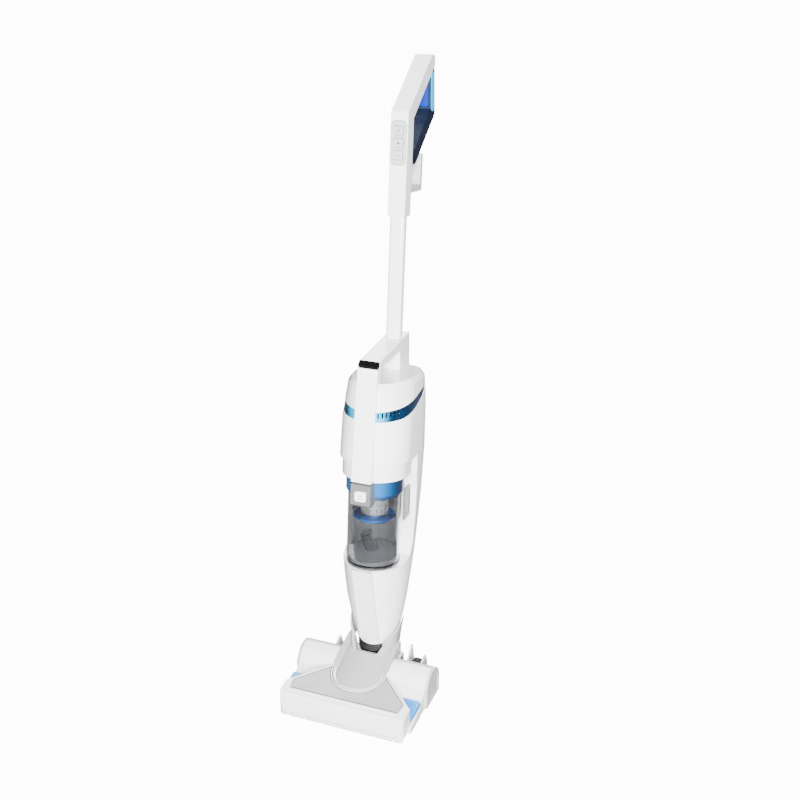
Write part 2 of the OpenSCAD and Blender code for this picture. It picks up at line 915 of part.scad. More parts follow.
module handle_shell() {
    color(white) on_body() difference() {
        union() {
            side_profile(sleeve_hw) {
                translate([sleeve_front, 832]) square([sleeve_back - sleeve_front, 168]);
                translate(bend) circle(13.5);
                strand(bend, top, 24);
            }
            difference() {
                side_profile(8) loop_core();
                trigger_space();
            }
        }
        translate([0, pole_y, 820]) linear_extrude(80) rounded(pole_w, pole_d, 6);
        translate([0, sleeve_front - 1, 955]) rotate([-90, 0, 0])
            linear_extrude(3) rounded(panel_w + 0.4, 72.4, 8);
        rod_y(0, sleeve_back - 4.4, sleeve_back + 1, hook_z, 4 + run_gap);
    }
}

module control_plate() {
    color(pale_grey) on_body() difference() {
        translate([0, sleeve_front - 0.6, 955]) rotate([-90, 0, 0])
            linear_extrude(2.6) rounded(panel_w, 72, 8);
        for (z = key_zs) translate([0, sleeve_front - 3, z]) rotate([-90, 0, 0])
            linear_extrude(4.4) rounded(key_w + 2 * key_gap, 15 + 2 * key_gap, key_r + key_gap);
    }
}

module grip_pad() {
    color(navy) on_body() difference() {
        side_profile(14.5) {
            strand([130.5, 1070], heel, 24);
            strand(heel, [57, 930], 24);
        }
        side_profile(8) loop_core();
        side_profile(sleeve_hw + 0.1) {
            translate([sleeve_front, 832]) square([sleeve_back - sleeve_front, 168]);
            strand(bend, top, 24.2);
        }
        both_sides() side_insert(0.1);
        trigger_space();
    }
}

module side_insert(grow) {
    translate([12.5, 0, 0]) rotate([90, 0, 90]) linear_extrude(4 + grow)
        strand([133, 1062], [139.5, 1012], 17 + 2 * grow);
}

module grip_inserts() {
    color(cyan) on_body() both_sides() intersection() {
        side_insert(0);
        block([0, 100, 990], [15, 170, 1070]);
    }
}

trigger_top = [124.5, 1056];
trigger_tip = [129, 1014];

// the room the trigger needs, from rest to fully pulled
module trigger_space() {
    block([-11, 110, 1008], [11, 127, 1064]);
    side_profile(11) translate(trigger_top) for (turn = [0, 2.5, 5])
        rotate(turn) strand([0, 0], trigger_tip - trigger_top, 9.2);
}

module trigger() {
    color(blue) on_body() {
        side_profile(10.5) strand(trigger_top, trigger_tip, 8);
        rod_x(-10.5, 10.5, trigger_top[0], trigger_top[1], 4);
    }
}

module cord_hook() {
    color(pale_grey) on_body() {
        rod_y(0, sleeve_back - 4, sleeve_back + slip_gap, hook_z, 4);
        rod_y(0, sleeve_back + slip_gap, sleeve_back + 6, hook_z, 11);
        block([-10, sleeve_back + 6, hook_z - 5.5], [10, 112, hook_z + 5.5]);
        block([-10, 103, hook_z + 5.5], [10, 112, 932]);
    }
}

base_chassis();
front_bumper();
head_cover();
cover_panel();
window_left();
window_right();
roller_housing();
end_cap_left();
end_cap_right();
neck_fairing();
brush_motor();
squeegee();
suction_duct();
spray_bar();
wheel_axles();
head_screws();
brush_roller();
roller_core();
wheel_left();
wheel_right();
swivel_yoke();
nose_cover();
rear_shell();
collar();
motor_housing();
vent_band();
top_cap();
front_strip();
carry_handle();
pole();
handle_shell();
grip_pad();
grip_inserts();
control_plate();
suction_motor();
filter_pad();
circuit_board();
water_pump();
side_clips();
lower_hook();
cable_gland();
impeller();
tank_shell();
tank_lid();
filter_can();
inlet_tube();
latch_block();
lid_seal();
float_bowl();
latch_button();
clean_tank();
filler_cap();
release_button();
key_upper();
key_middle();
key_lower();
trigger();
cord_hook();
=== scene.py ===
"""Looks for the wet and dry floor scrubber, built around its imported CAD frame."""

import json
from math import cos, pi, radians, sin

import bmesh
import bpy
from mathutils import Matrix, Vector


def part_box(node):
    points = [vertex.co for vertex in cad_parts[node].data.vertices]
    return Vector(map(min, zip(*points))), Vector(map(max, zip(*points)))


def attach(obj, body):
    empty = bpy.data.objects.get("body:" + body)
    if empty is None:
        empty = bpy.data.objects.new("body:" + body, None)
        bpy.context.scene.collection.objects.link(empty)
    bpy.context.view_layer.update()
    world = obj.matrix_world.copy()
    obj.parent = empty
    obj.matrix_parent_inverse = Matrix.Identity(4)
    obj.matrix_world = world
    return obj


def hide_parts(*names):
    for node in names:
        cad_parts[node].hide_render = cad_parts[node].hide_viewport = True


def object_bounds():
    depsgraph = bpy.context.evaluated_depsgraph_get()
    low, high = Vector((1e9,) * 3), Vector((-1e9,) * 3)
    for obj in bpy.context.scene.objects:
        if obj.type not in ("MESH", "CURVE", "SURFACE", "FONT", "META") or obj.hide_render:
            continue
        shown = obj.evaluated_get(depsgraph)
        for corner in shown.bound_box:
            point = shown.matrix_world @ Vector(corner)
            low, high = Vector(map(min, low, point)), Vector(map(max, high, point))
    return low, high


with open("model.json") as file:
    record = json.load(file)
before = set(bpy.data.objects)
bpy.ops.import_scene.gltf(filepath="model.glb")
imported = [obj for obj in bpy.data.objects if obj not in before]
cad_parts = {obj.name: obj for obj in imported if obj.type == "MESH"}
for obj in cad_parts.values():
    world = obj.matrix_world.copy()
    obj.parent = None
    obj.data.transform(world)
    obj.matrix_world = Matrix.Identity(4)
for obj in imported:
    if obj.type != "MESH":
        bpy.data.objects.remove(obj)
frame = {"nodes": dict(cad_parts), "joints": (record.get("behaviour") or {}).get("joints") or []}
cad_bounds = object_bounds()
nodes = frame["nodes"]
MM = 0.001
PANEL_THICK = 1.6 * MM
TONGUE_HALF = 46 * MM
FINE_EDGE = 0.4 * MM
MARK_FOOT, MARK_FACE = -0.1 * MM, 0.25 * MM
WELD_REACH = 0.01 * MM
PLASTIC_IOR = 1.45
SPECKLE_GRAIN = 400.0
BACKDROP_GLOW = 13.0
WORLD_STRENGTH = 0.10
VIEW_OFFSET = Vector((0.0322, 0.0012, -0.0033))
CORNERS = ((1, 1), (-1, 1), (-1, -1), (1, -1))

# ---- the frame's own directions ----

joints = {joint["name"]: joint for joint in frame["joints"]}
hinge = Vector(joints["recline"]["pos_m"])
body_up = Vector(joints["float_rise"]["axis"]).normalized()
body_back = Vector(joints["clean_tank_out"]["axis"]).normalized()
body_right = body_back.cross(body_up)
BODY = Matrix.Translation(hinge) @ Matrix((body_right, body_back, body_up)).transposed().to_4x4()


def body_box(node):
    """Lowest and highest corners of a node along the leaned body's own directions."""
    back = BODY.inverted()
    points = [back @ vertex.co for vertex in nodes[node].data.vertices]
    low = Vector([min(point[axis] for point in points) for axis in range(3)])
    high = Vector([max(point[axis] for point in points) for axis in range(3)])
    return low, high


# ---- materials ----


class Graph:
    """A material's node tree, with short names for the few nodes used here."""

    def __init__(self, name):
        self.material = bpy.data.materials.new(name)
        self.material.use_nodes = True
        self.tree = self.material.node_tree
        self.shader = self.tree.nodes["Principled BSDF"]
        self.place = self.tree.nodes.new("ShaderNodeTexCoord").outputs["Object"]

    def plug(self, socket, value):
        """Links another node's output to a socket, or sets the socket to a plain value."""
        if isinstance(value, bpy.types.NodeSocket):
            self.tree.links.new(value, socket)
        else:
            socket.default_value = value

    def node(self, kind, **inputs):
        made = self.tree.nodes.new(kind)
        for key, value in inputs.items():
            self.plug(made.inputs[key.replace("_", " ")], value)
        return made

    def noise(self, scale, detail=3.0):
        made = self.node("ShaderNodeTexNoise", Vector=self.place, Scale=scale, Detail=detail)
        return made.outputs["Fac"]

    def spread(self, value, low, high, start=0.3, end=0.7):
        made = self.node("ShaderNodeMapRange", Value=value)
        for key, number in (("From Min", start), ("From Max", end), ("To Min", low), ("To Max", high)):
            made.inputs[key].default_value = number
        return made.outputs["Result"]

    def mix(self, amount, first, second):
        made = self.tree.nodes.new("ShaderNodeMix")
        made.data_type = "RGBA"
        factor, colour_a, colour_b = made.inputs[0], made.inputs[6], made.inputs[7]
        for socket, value in ((factor, amount), (colour_a, first), (colour_b, second)):
            self.plug(socket, value)
        return made.outputs[2]

    def maths(self, operation, first, second=0.0):
        made = self.tree.nodes.new("ShaderNodeMath")
        made.operation = operation
        for socket, value in zip(made.inputs, (first, second)):
            self.plug(socket, value)
        return made.outputs[0]

    def bump(self, height, depth, strength=1.0):
        made = self.node("ShaderNodeBump", Height=height, Distance=depth, Strength=strength)
        return made.outputs["Normal"]

    def worn_edges(self):
        pointiness = self.node("ShaderNodeNewGeometry").outputs["Pointiness"]
        edge = self.spread(pointiness, 0.0, 1.0, 0.52, 0.62)
        return self.maths("MULTIPLY", edge, self.spread(self.noise(90.0), 0.0, 0.7))

    def feed(self, socket, value):
        self.tree.links.new(value, self.shader.inputs[socket])

    def fix(self, socket, value):
        self.shader.inputs[socket].default_value = value


def rgb(colour, factor=1.0):
    """A colour with full alpha, made brighter or darker by a factor."""
    return tuple(min(1.0, channel * factor) for channel in colour) + (1.0,)


def moulded(name, colour, rough, grain=900.0, depth=0.00003, coat=0.0, edge=0.86):
    """Moulded plastic: faint mottling, handling marks, a fine surface grain and worn edges."""
    graph = Graph(name)
    mottled = graph.mix(graph.spread(graph.noise(14.0, 5.0), 0.0, 1.0), rgb(colour, 0.955), rgb(colour))
    graph.feed("Base Color", graph.mix(graph.worn_edges(), mottled, rgb(colour, edge)))
    handled = graph.spread(graph.noise(38.0, 6.0), rough * 0.8, rough * 1.3)
    graph.feed("Roughness", handled)
    graph.feed("Normal", graph.bump(graph.noise(grain, 2.0), depth, 0.35))
    graph.fix("Coat Weight", coat)
    graph.fix("Coat Roughness", 0.08)
    return graph.material


def clear(name, colour, rough, ripple=0.00002, through=1.0):
    """Clear or tinted plastic with faint flow lines and scuffs."""
    graph = Graph(name)
    clouds = graph.spread(graph.noise(9.0), 0.0, 1.0)
    graph.feed("Base Color", graph.mix(clouds, rgb(colour, 0.93), rgb(colour)))
    graph.feed("Roughness", graph.spread(graph.noise(60.0, 6.0), rough * 0.6, rough * 1.8))
    graph.feed("Normal", graph.bump(graph.noise(25.0, 2.0), ripple, 0.2))
    graph.fix("Transmission Weight", through)
    graph.fix("IOR", PLASTIC_IOR)
    return graph.material


def brushed(name, colour, rough, stretch=(1.0, 1.0, 60.0), metal=1.0):
    """Metal with fine lines drawn across the stretched direction."""
    graph = Graph(name)
    mapped = graph.node("ShaderNodeMapping", Vector=graph.place, Scale=stretch).outputs["Vector"]
    lines = graph.node("ShaderNodeTexNoise", Vector=mapped, Scale=60.0, Detail=3.0).outputs["Fac"]
    graph.feed("Base Color", graph.mix(graph.spread(lines, 0.0, 1.0), rgb(colour, 0.85), rgb(colour)))
    graph.feed("Roughness", graph.spread(lines, rough * 0.7, rough * 1.5))
    graph.feed("Normal", graph.bump(lines, 0.00002, 0.3))
    graph.fix("Metallic", metal)
    return graph.material


def painted_reflection_metal(name, painted_reflection_colour, far, reach, rough, metal):
    """A metallic lacquer with a painted reflection: its colour is painted bright beside the front strip
    and deep towards the sides.
    """
    graph = Graph(name)
    across = graph.node("ShaderNodeSeparateXYZ", Vector=graph.place).outputs["X"]
    # painted reflection: the colour brightens as |x| falls towards the front strip and deepens towards
    # the sides
    reflection_falloff = graph.spread(graph.maths("ABSOLUTE", across), 0.0, 1.0, reach[0], reach[1])
    speckle = graph.spread(graph.noise(SPECKLE_GRAIN, 2.0), -0.12, 0.12)
    graph.feed("Base Color", graph.mix(graph.maths("ADD", reflection_falloff, speckle), rgb(painted_reflection_colour), rgb(far)))
    graph.feed("Roughness", graph.spread(graph.noise(50.0, 5.0), rough * 0.7, rough * 1.5))
    graph.feed("Normal", graph.bump(graph.noise(SPECKLE_GRAIN, 2.0), 0.00003, 0.3))
    graph.fix("Metallic", metal)
    graph.fix("Coat Weight", 0.2)
    graph.fix("Coat Roughness", 0.05)
    return graph.material


def fibrous(name, colour, darker, scale):
    """Brush pile, filter paper or board: broken colour and a rough face."""
    graph = Graph(name)
    strands = graph.spread(graph.noise(scale, 6.0), 0.0, 1.0)
    graph.feed("Base Color", graph.mix(strands, rgb(darker), rgb(colour)))
    graph.feed("Roughness", graph.spread(graph.noise(scale * 0.5), 0.7, 0.95))
    graph.feed("Normal", graph.bump(graph.noise(scale * 2.0, 4.0), 0.0004, 0.6))
    return graph.material


WHITE = moulded("white_gloss", (0.74, 0.745, 0.76), 0.20, coat=0.5)
STRIP = moulded("strip_gloss", (0.80, 0.805, 0.82), 0.12, grain=500.0, depth=0.00001, coat=0.8)
PALE = moulded("pale_satin", (0.40, 0.405, 0.42), 0.36, grain=1400.0, depth=0.00005)
PANEL = moulded("panel_satin", (0.30, 0.305, 0.315), 0.34, grain=1400.0, depth=0.00005)
GREY = moulded("grey_satin", (0.11, 0.113, 0.12), 0.30, grain=1400.0, depth=0.00005)
LINE = moulded("seam_grey", (0.05, 0.05, 0.055), 0.50)
BLACK = moulded("black_plastic", (0.004, 0.004, 0.005), 0.42, grain=1200.0, depth=0.00006, edge=2.5)
PIANO = moulded("black_gloss", (0.0008, 0.0008, 0.001), 0.30, edge=1.5)
NAVY = moulded("navy_rubber", (0.0006, 0.0035, 0.014), 0.50, grain=1800.0, depth=0.00008, edge=1.6)
RUBBER = moulded("black_rubber", (0.004, 0.004, 0.0045), 0.65, grain=1500.0, depth=0.0001, edge=1.6)
BLUE = moulded("trigger_blue", (0.0004, 0.02, 0.22), 0.20, coat=0.3, edge=1.2)
CYAN = moulded("insert_cyan", (0.002, 0.42, 0.78), 0.22, coat=0.3, edge=1.2)
# Painted reflection: the vent band, lid and float bowl are painted bright beside the front strip and
# deep towards the sides.
BAND = painted_reflection_metal(
    "vent_band_painted_reflection", painted_reflection_colour=(0.002, 0.30, 0.55), far=(0.0008, 0.006, 0.022), reach=(0.020, 0.042),
    rough=0.26, metal=0.15,
)
LID = painted_reflection_metal(
    "lid_painted_reflection", painted_reflection_colour=(0.0006, 0.10, 0.30), far=(0.0005, 0.009, 0.035), reach=(0.028, 0.050),
    rough=0.20, metal=0.25,
)
BOWL = painted_reflection_metal(
    "bowl_painted_reflection", painted_reflection_colour=(0.002, 0.16, 0.55), far=(0.0008, 0.03, 0.20), reach=(0.010, 0.036),
    rough=0.16, metal=0.0,
)
SMOKE = clear("tank_smoke", (0.78, 0.79, 0.81), 0.04)
FROST = clear("tank_frosted", (0.78, 0.83, 0.87), 0.35, through=0.25)
WINDOW = clear("window_cyan", (0.008, 0.26, 0.70), 0.12, ripple=0.00001, through=0.3)
# Painted shade: a grey stand-in for the shadow seen through the dirty tank's floor.
PAINTED_SHADE_GREY = moulded("painted_shade_water", (0.21, 0.212, 0.22), 0.10, grain=30.0, depth=0.00001, coat=0.4)
CHROME = brushed("can_chrome", (0.90, 0.895, 0.89), 0.22, metal=0.8)
STEEL = brushed("steel", (0.42, 0.42, 0.43), 0.30, stretch=(60.0, 1.0, 1.0))
PILE = fibrous("brush_pile", (0.02, 0.26, 0.42), (0.01, 0.12, 0.22), 500.0)
PAPER = fibrous("filter_paper", (0.70, 0.70, 0.68), (0.58, 0.58, 0.55), 300.0)
BOARD = fibrous("circuit_board", (0.02, 0.16, 0.07), (0.01, 0.09, 0.04), 120.0)

FINISHES = {
    "white": (WHITE, "base_chassis front_bumper head_cover roller_housing nose_cover rear_shell collar "
              "motor_housing top_cap carry_handle pole handle_shell"),
    "strip": (STRIP, "front_strip latch_button"),
    "panel": (PANEL, "cover_panel neck_fairing"),
    "pale": (PALE, "end_cap_left end_cap_right control_plate lower_hook "
             "cord_hook key_upper key_middle key_lower"),
    "grey": (GREY, "latch_block side_clips"),
    "black": (BLACK, "brush_motor suction_duct roller_core swivel_yoke water_pump cable_gland"),
    "piano": (PIANO, "release_button"),
    "navy": (NAVY, "grip_pad filler_cap spray_bar"),
    "rubber": (RUBBER, "squeegee lid_seal wheel_left wheel_right"),
    "blue": (BLUE, "trigger"),
    "cyan": (CYAN, "grip_inserts"),
    "band": (BAND, "vent_band"),
    "lid": (LID, "tank_lid"),
    "bowl": (BOWL, "float_bowl"),
    "smoke": (SMOKE, "tank_shell inlet_tube"),
    "frost": (FROST, "clean_tank"),
    "window": (WINDOW, "window_left window_right"),
    "chrome": (CHROME, "filter_can"),
    "steel": (STEEL, "wheel_axles head_screws suction_motor impeller"),
    "pile": (PILE, "brush_roller"),
    "paper": (PAPER, "filter_pad"),
    "board": (BOARD, "circuit_board"),
}


def soften(piece, width, angle=32.0):
    """Rounds a piece's sharp edges a little and shades its curved faces smoothly."""
    for face in piece.data.polygons:
        face.use_smooth = True
    weld = piece.modifiers.new("weld", "WELD")
    weld.merge_threshold = WELD_REACH
    bevel = piece.modifiers.new("edges", "BEVEL")
    bevel.width = width
    bevel.segments = 2
    bevel.limit_method = "ANGLE"
    bevel.angle_limit = radians(angle)
    bevel.use_clamp_overlap = True
    piece.modifiers.new("normals", "WEIGHTED_NORMAL")


EDGE_WIDTH = {
    "white": 0.9 * MM, "pale": 0.8 * MM, "panel": 0.4 * MM, "strip": 0.7 * MM, "navy": 0.7 * MM,
    "rubber": 0.5 * MM,
}
for finish, (material, names) in FINISHES.items():
    for name in names.split():
        nodes[name].data.materials.clear()
        nodes[name].data.materials.append(material)
        soften(nodes[name], EDGE_WIDTH.get(finish, FINE_EDGE))


# ---- mesh pieces ----


def piece_from(name, mesh, material, body, place=None, edge=0.0):
    """Makes an object of a bmesh, in the row frame, riding on a CAD body."""
    if place is not None:
        mesh.transform(place)
    bmesh.ops.recalc_face_normals(mesh, faces=mesh.faces)
    data = bpy.data.meshes.new(name)
    mesh.to_mesh(data)
    mesh.free()
    made = bpy.data.objects.new(name, data)
    bpy.context.scene.collection.objects.link(made)
    data.materials.append(material)
    if edge:
        soften(made, edge)
    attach(made, body)
    return made


def add_lathe(mesh, profile, steps, place=Matrix.Identity(4)):
    """Turns a closed (radius, height) outline round the z axis."""
    rows = []
    for step in range(steps):
        turn = 2 * pi * step / steps
        rows.append([
            mesh.verts.new(place @ Vector((r * cos(turn), r * sin(turn), z)))
            for r, z in profile
        ])
    for step in range(steps):
        here, after = rows[step], rows[(step + 1) % steps]
        for i in range(len(profile)):
            j = (i + 1) % len(profile)
            mesh.faces.new((here[i], after[i], after[j], here[j]))


def add_prism(mesh, outline, low, high, place=Matrix.Identity(4)):
    """Extrudes a closed (x, y) outline from low to high."""
    bottom = [mesh.verts.new(place @ Vector((x, y, low))) for x, y in outline]
    top = [mesh.verts.new(place @ Vector((x, y, high))) for x, y in outline]
    count = len(outline)
    mesh.faces.new(bottom[::-1])
    mesh.faces.new(top)
    for i in range(count):
        j = (i + 1) % count
        mesh.faces.new((bottom[i], bottom[j], top[j], top[i]))


def add_bead(mesh, path, radius, sides=8, closed=True, place=Matrix.Identity(4)):
    """Sweeps a round bead along a path that lies roughly flat before it is placed."""
    rings = []
    count = len(path)
    for i, point in enumerate(path):
        before = path[i - 1] if closed or i > 0 else point
        after = path[(i + 1) % count] if closed or i < count - 1 else point
        along = (after - before).normalized()
        side = along.cross(Vector((0, 0, 1))).normalized()
        up = side.cross(along)
        turns = [2 * pi * k / sides for k in range(sides)]
        rings.append([
            mesh.verts.new(place @ (point + radius * (cos(turn) * side + sin(turn) * up)))
            for turn in turns
        ])
    for i in range(count if closed else count - 1):
        here, after = rings[i], rings[(i + 1) % count]
        for k in range(sides):
            n = (k + 1) % sides
            mesh.faces.new((here[k], here[n], after[n], after[k]))
    if not closed:
        mesh.faces.new(rings[0][::-1])
        mesh.faces.new(rings[-1])


# ---- head details ----


def panel_path(inset, sink=0.0):
    """Outline of the head's grey panel, moved inwards, on the panel's own slope."""
    low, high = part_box("cover_panel")
    hill = (high.z - low.z - PANEL_THICK) / (high.y - low.y)
    front, half = low.y + inset, high.x - inset
    shoulder = low.y + 24 * MM
    toe = half - 4 * MM
    waist = 0.5 * high.x - inset
    flat = [
        (waist, high.y), (half, shoulder), (toe, front),
        (-toe, front), (-half, shoulder), (-waist, high.y),
    ]
    return [Vector((x, y, low.z + PANEL_THICK - sink + hill * (y - low.y))) for x, y in flat]


def tongue_path(grow):
    """The curved front edge of the neck's tongue, a little outside it."""
    low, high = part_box("cover_panel")
    hill = (high.z - low.z - PANEL_THICK) / (high.y - low.y)
    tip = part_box("neck_fairing")[0].y
    steps = 40
    path = []
    for step in range(steps + 1):
        turn = pi + pi * step / steps
        y = high.y + (high.y - tip + grow) * sin(turn)
        z = low.z + PANEL_THICK + hill * (y - low.y)
        path.append(Vector(((TONGUE_HALF + grow) * cos(turn), y, z)))
    return path


def panel_rims():
    """The raised white rims round the head's grey panel and round the neck's tongue."""
    mesh = bmesh.new()
    add_bead(mesh, panel_path(-1.2 * MM, 0.9 * MM), 1.5 * MM, closed=False)
    add_bead(mesh, tongue_path(1.4 * MM), 1.2 * MM, closed=False)
    add_bead(mesh, tongue_path(5.8 * MM), 1.2 * MM, closed=False)
    piece_from("panel_rims", mesh, WHITE, "head")


def panel_seams():
    """Fine dark joint lines beside the white rims and along the foot of the bumper."""
    low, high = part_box("front_bumper")
    half = high.x - 13 * MM
    mesh = bmesh.new()
    add_bead(mesh, panel_path(2.4 * MM, 0.3 * MM), 0.8 * MM, 6, closed=False)
    add_bead(mesh, tongue_path(3.6 * MM), 0.8 * MM, 6, closed=False)
    add_bead(mesh, tongue_path(7.8 * MM), 0.7 * MM, 6, closed=False)
    foot = Vector((0, low.y + 0.37 * MM, low.z + 9.2 * MM))
    reach = Vector((half, 0, 0))
    add_bead(mesh, [foot - reach, foot + reach], 0.35 * MM, 6, closed=False)
    piece_from("panel_seams", mesh, LINE, "head")


def bristles():
    """Pile tufts that stand in ten spiral rows round the roller."""
    low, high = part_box("brush_roller")
    axle = (low + high) / 2
    radius = (high.z - low.z) / 2
    rows, per_row, sweep = 10, 76, radians(70)
    margin, tuft = 2 * MM, 0.9 * MM
    root_radius, tip_radius = radius - 9 * MM, radius - 0.3 * MM
    sleeve_radius, bore = radius - 7 * MM, 15 * MM
    mesh = bmesh.new()
    for row in range(rows):
        for k in range(per_row):
            along = low.x + margin + (high.x - low.x - 2 * margin) * k / (per_row - 1)
            centre = Vector((along, axle.y, axle.z))
            for fan in (-1, 0, 1):
                turn = 2 * pi * row / rows + sweep * k / per_row + 0.10 * fan
                out = Vector((0, cos(turn), sin(turn)))
                around = Vector((0, -sin(turn), cos(turn)))
                root = centre + out * root_radius
                tip = centre + out * tip_radius + around * fan * 0.6 * MM
                base = [
                    mesh.verts.new(root + Vector((tuft * cos(a), 0, 0)) + around * tuft * sin(a))
                    for a in (0.5, 2.6, 4.7)
                ]
                end = mesh.verts.new(tip)
                for i in range(3):
                    mesh.faces.new((base[i], base[(i + 1) % 3], end))
                mesh.faces.new(base[::-1])
    add_lathe(
        mesh,
        [(bore, low.x), (sleeve_radius, low.x), (sleeve_radius, high.x), (bore, high.x)],
        48,
        Matrix.Translation((0, axle.y, axle.z)) @ Matrix.Rotation(pi / 2, 4, "Y"),
    )
    made = piece_from("roller_bristles", mesh, PILE, "roller")
    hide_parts("brush_roller")


def tyre(name, node, body):
    """A ribbed tyre on a webbed hub."""
    low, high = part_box(node)
    middle = (low + high) / 2
    radius = (high.z - low.z) / 2
    half = (high.x - low.x) / 2
    mesh = bmesh.new()
    place = Matrix.Translation(middle) @ Matrix.Rotation(pi / 2, 4, "Y")
    groove, bore, shoulder = 0.7 * MM, 3.05 * MM, 0.6 * MM
    hub, web_in, web_out, rim = 0.5 * radius, 0.55 * radius, 0.78 * radius, 0.84 * radius
    profile = [
        (bore, -half), (hub, -half), (web_in, -0.7 * half), (web_out, -0.7 * half),
        (rim, -half), (radius - shoulder, -half), (radius, -0.85 * half),
    ]
    for k in (-0.5, 0.0, 0.5):
        profile += [(radius, (k - 0.12) * half), (radius - groove, (k - 0.06) * half),
                    (radius - groove, (k + 0.06) * half), (radius, (k + 0.12) * half)]
    profile += [(radius, 0.85 * half), (radius - shoulder, half), (rim, half),
                (web_out, 0.7 * half), (web_in, 0.7 * half), (hub, half), (bore, half)]
    add_lathe(mesh, profile, 64, place)
    for k in range(6):
        spoke = place @ Matrix.Rotation(k * pi / 3, 4, "Z")
        inner, outer, thin = 0.52 * radius, 0.80 * radius, 0.5 * MM
        plate = [(inner, -thin), (outer, -thin), (outer, thin), (inner, thin)]
        add_prism(mesh, plate, -0.95 * half, 0.95 * half, spoke)
    made = piece_from(name, mesh, RUBBER, body, edge=0.25 * MM)
    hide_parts(node)


# ---- neck and body details ----


def neck_bellows():
    """The ribbed sleeve that shows in the gap under the nose: wide below, narrow inside the nose."""
    pitch, inner, low, groove = 5 * MM, 24.2 * MM, 30 * MM, 3 * MM
    rib_radii = [35 * MM] * 2 + [30 * MM] * 5
    profile = [(inner, low)]
    for k, radius in enumerate(rib_radii):
        foot = low + k * pitch
        profile += [(radius, foot + 0.1 * pitch), (radius, foot + 0.5 * pitch),
                    (radius - groove, foot + 0.7 * pitch), (radius - groove, foot + 0.95 * pitch)]
    profile += [(inner, low + len(rib_radii) * pitch)]
    mesh = bmesh.new()
    add_lathe(mesh, profile, 64, Matrix.Translation(hinge))
    piece_from("neck_bellows", mesh, RUBBER, "neck", edge=FINE_EDGE)


def round_box(node):
    """Middle, foot, top and radius of an upright round node, along the leaned body."""
    low, high = body_box(node)
    return (low.x + high.x) / 2, (low.y + high.y) / 2, low.z, high.z, (high.x - low.x) / 2


def painted_shade_water():
    """A shallow grey slab shaped as a water layer on the tank's floor: painted shade for the dark
    inside the tank.
    """
    x, y, low, _, radius = round_box("tank_shell")
    floor, depth, inner = low + 7.0 * MM, 11 * MM, radius - 2.7 * MM
    steps = 72
    turns = [2 * pi * i / steps for i in range(steps)]
    lean = body_back.z / body_up.z
    mesh = bmesh.new()
    bottom = [mesh.verts.new((x + inner * cos(turn), y + inner * sin(turn), floor)) for turn in turns]
    top = [mesh.verts.new((v.co.x, v.co.y, floor + depth - lean * (v.co.y - y))) for v in bottom]
    mesh.faces.new(bottom[::-1])
    mesh.faces.new(top)
    for i in range(steps):
        j = (i + 1) % steps
        mesh.faces.new((bottom[i], bottom[j], top[j], top[i]))
    piece_from("painted_shade_water", mesh, PAINTED_SHADE_GREY, "dirty_tank", BODY, edge=FINE_EDGE)


def lid_hoops():
    """Two raised hoops round the tank's blue lid."""
    x, y, low, high, radius = round_box("tank_lid")
    root, crest = radius - 1 * MM, radius + 0.25 * MM
    mesh = bmesh.new()
    place = BODY @ Matrix.Translation((x, y, 0))
    for height in (high - 2.2 * MM, low + 9.6 * MM):
        profile = [(root, height - 0.8 * MM), (crest, height - 0.4 * MM),
                   (crest, height + 0.4 * MM), (root, height + 0.8 * MM)]
        add_lathe(mesh, profile, 96, place)
    piece_from("lid_hoops", mesh, LID, "dirty_tank")


def rear_screws():
    """Four screw heads on the back of the body."""
    back = body_box("motor_housing")[1].y - 2.2 * MM
    aside, heights = 44 * MM, (432 * MM, 484 * MM)
    recess, head = 1.4 * MM, 3.8 * MM
    outline = [
        (recess, 0.4 * MM), (recess, 1.6 * MM), (3.4 * MM, 1.9 * MM),
        (head, 1.2 * MM), (head, 0.0), (recess, 0.0),
    ]
    slot = [(sx * 1.5 * MM, sy * 0.4 * MM) for sx, sy in CORNERS]
    facing = Matrix.Rotation(-pi / 2, 4, "X")
    mesh = bmesh.new()
    for side in (-1, 1):
        for height in heights:
            spot = BODY @ Matrix.Translation((side * aside, back, height)) @ facing
            add_lathe(mesh, outline, 24, spot)
            for k in range(2):
                add_prism(mesh, slot, 0.2 * MM, 0.9 * MM, spot @ Matrix.Rotation(k * pi / 2, 4, "Z"))
    piece_from("rear_screws", mesh, STEEL, "upright")


def key_marks():
    """Plain raised marks on the keys: a ring with a stroke, a drop and a bar."""
    belly = [radians(a) for a in range(50, 311, 20)]
    drop = [(0.0, 3.0 * MM)] + [(1.9 * MM * sin(a), (-0.8 + 1.9 * cos(a)) * MM) for a in belly]
    bar = [(sx * 2.6 * MM, sy * 0.6 * MM) for sx, sy in CORNERS]
    inner, outer = 1.6 * MM, 2.3 * MM
    rim = [(inner, MARK_FOOT), (inner, MARK_FACE), (outer, MARK_FACE), (outer, MARK_FOOT)]
    thin, foot, tip = 0.35 * MM, 0.9 * MM, 3.4 * MM
    stroke = [(-thin, foot), (thin, foot), (thin, tip), (-thin, tip)]
    facing = Matrix.Rotation(pi / 2, 4, "X")
    for node, body, shape in (
        ("key_upper", "upper_key", "ring"),
        ("key_middle", "middle_key", "drop"),
        ("key_lower", "lower_key", "bar"),
    ):
        low, high = body_box(node)
        spot = BODY @ Matrix.Translation(((low.x + high.x) / 2, low.y, (low.z + high.z) / 2)) @ facing
        mesh = bmesh.new()
        if shape == "ring":
            add_lathe(mesh, rim, 32, spot)
            add_prism(mesh, stroke, MARK_FOOT, MARK_FACE, spot)
        else:
            add_prism(mesh, drop if shape == "drop" else bar, MARK_FOOT, MARK_FACE, spot)
        piece_from(f"{node}_mark", mesh, LINE, body)


